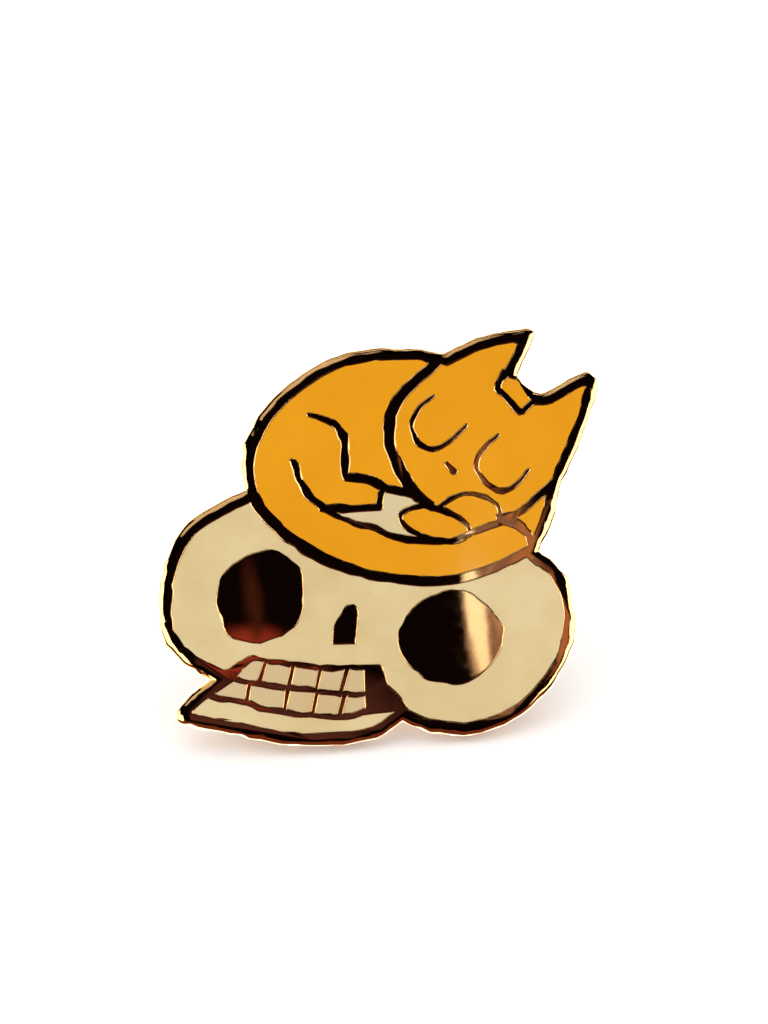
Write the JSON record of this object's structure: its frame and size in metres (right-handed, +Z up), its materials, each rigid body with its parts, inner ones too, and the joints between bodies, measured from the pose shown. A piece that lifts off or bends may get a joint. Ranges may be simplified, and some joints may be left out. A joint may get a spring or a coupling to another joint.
{
  "type": "enamel pin",
  "caption": "Die-struck, gold-plated enamel pin of an orange cat asleep on a cream skull, with nail posts on the back and sliding butterfly clutches.",
  "frame": {"origin": "On the table under the middle of the bounding box, with the pin standing on its lower edge and its two lower wings.", "axes": "+X runs along the pin's width to the viewer's right, +Y goes away from the viewer, from the front face to the clutches, and +Z is up. The plate leans back 29.0 degrees from upright."},
  "size_m": [0.0318, 0.0148, 0.0252],
  "materials": {
    "brass": "pressed sheet, bright",
    "chest_enamel": "cured, ground flush and polished",
    "cream_enamel": "cured, ground flush and polished",
    "gold_plate": "die-struck, polished and plated gold",
    "orange_enamel": "cured, ground flush and polished",
    "solder": "dull, as it set",
    "tooth_enamel": "cured, ground flush and polished"
  },
  "bodies": {
    "pin": {"base_plate": "gold_plate", "enamel_cat_body": "orange_enamel", "enamel_cat_head": "orange_enamel", "enamel_chest": "chest_enamel", "enamel_forehead_patch": "orange_enamel", "enamel_hind_leg": "orange_enamel", "enamel_jaw": "cream_enamel", "enamel_left_paw": "orange_enamel", "enamel_lower_tooth_1": "tooth_enamel", "enamel_lower_tooth_2": "tooth_enamel", "enamel_lower_tooth_3": "tooth_enamel", "enamel_lower_tooth_4": "tooth_enamel", "enamel_lower_tooth_5": "tooth_enamel", "enamel_right_paw": "orange_enamel", "enamel_skull": "cream_enamel", "enamel_upper_tooth_1": "tooth_enamel", "enamel_upper_tooth_2": "tooth_enamel", "enamel_upper_tooth_3": "tooth_enamel", "enamel_upper_tooth_4": "tooth_enamel", "enamel_upper_tooth_5": "tooth_enamel", "post_left": "gold_plate", "solder_left": "solder", "post_right": "gold_plate", "solder_right": "solder"},
    "clutch_left": {"clutch_cap_left": "brass", "clutch_clip_left": "brass"},
    "lower_wing_left": {"clutch_lower_wing_left": "brass"},
    "upper_wing_left": {"clutch_upper_wing_left": "brass"},
    "clutch_right": {"clutch_cap_right": "brass", "clutch_clip_right": "brass"},
    "lower_wing_right": {"clutch_lower_wing_right": "brass"},
    "upper_wing_right": {"clutch_upper_wing_right": "brass"}
  },
  "joints": [
    {"name": "clutch_slide_left", "type": "slide", "parent": "pin", "child": "clutch_left", "axis": [0, 0.875, -0.4842], "range_m": [0, 0.012]},
    {"name": "lower_wing_squeeze_left", "type": "hinge", "parent": "clutch_left", "child": "lower_wing_left", "pos_m": [-0.0072, 0.00076, 0.00956], "axis": [1, 0, 0], "range_deg": [0, 10], "stiffness_Nm_per_rad": 0.04},
    {"name": "upper_wing_squeeze_left", "type": "hinge", "parent": "clutch_left", "child": "upper_wing_left", "pos_m": [-0.0072, -0.00306, 0.00265], "axis": [-1, 0, 0], "range_deg": [0, 10]},
    {"name": "clutch_slide_right", "type": "slide", "parent": "pin", "child": "clutch_right", "axis": [0, 0.875, -0.4842], "range_m": [0, 0.012]},
    {"name": "lower_wing_squeeze_right", "type": "hinge", "parent": "clutch_right", "child": "lower_wing_right", "pos_m": [0.0066, 0.00076, 0.00956], "axis": [1, 0, 0], "range_deg": [0, 10], "stiffness_Nm_per_rad": 0.04},
    {"name": "upper_wing_squeeze_right", "type": "hinge", "parent": "clutch_right", "child": "upper_wing_right", "pos_m": [0.0066, -0.00306, 0.00265], "axis": [-1, 0, 0], "range_deg": [0, 10]}
  ],
  "couplings": [
    {"joint": "upper_wing_squeeze_left", "follows": "lower_wing_squeeze_left", "ratio": 1},
    {"joint": "upper_wing_squeeze_right", "follows": "lower_wing_squeeze_right", "ratio": 1}
  ]
}
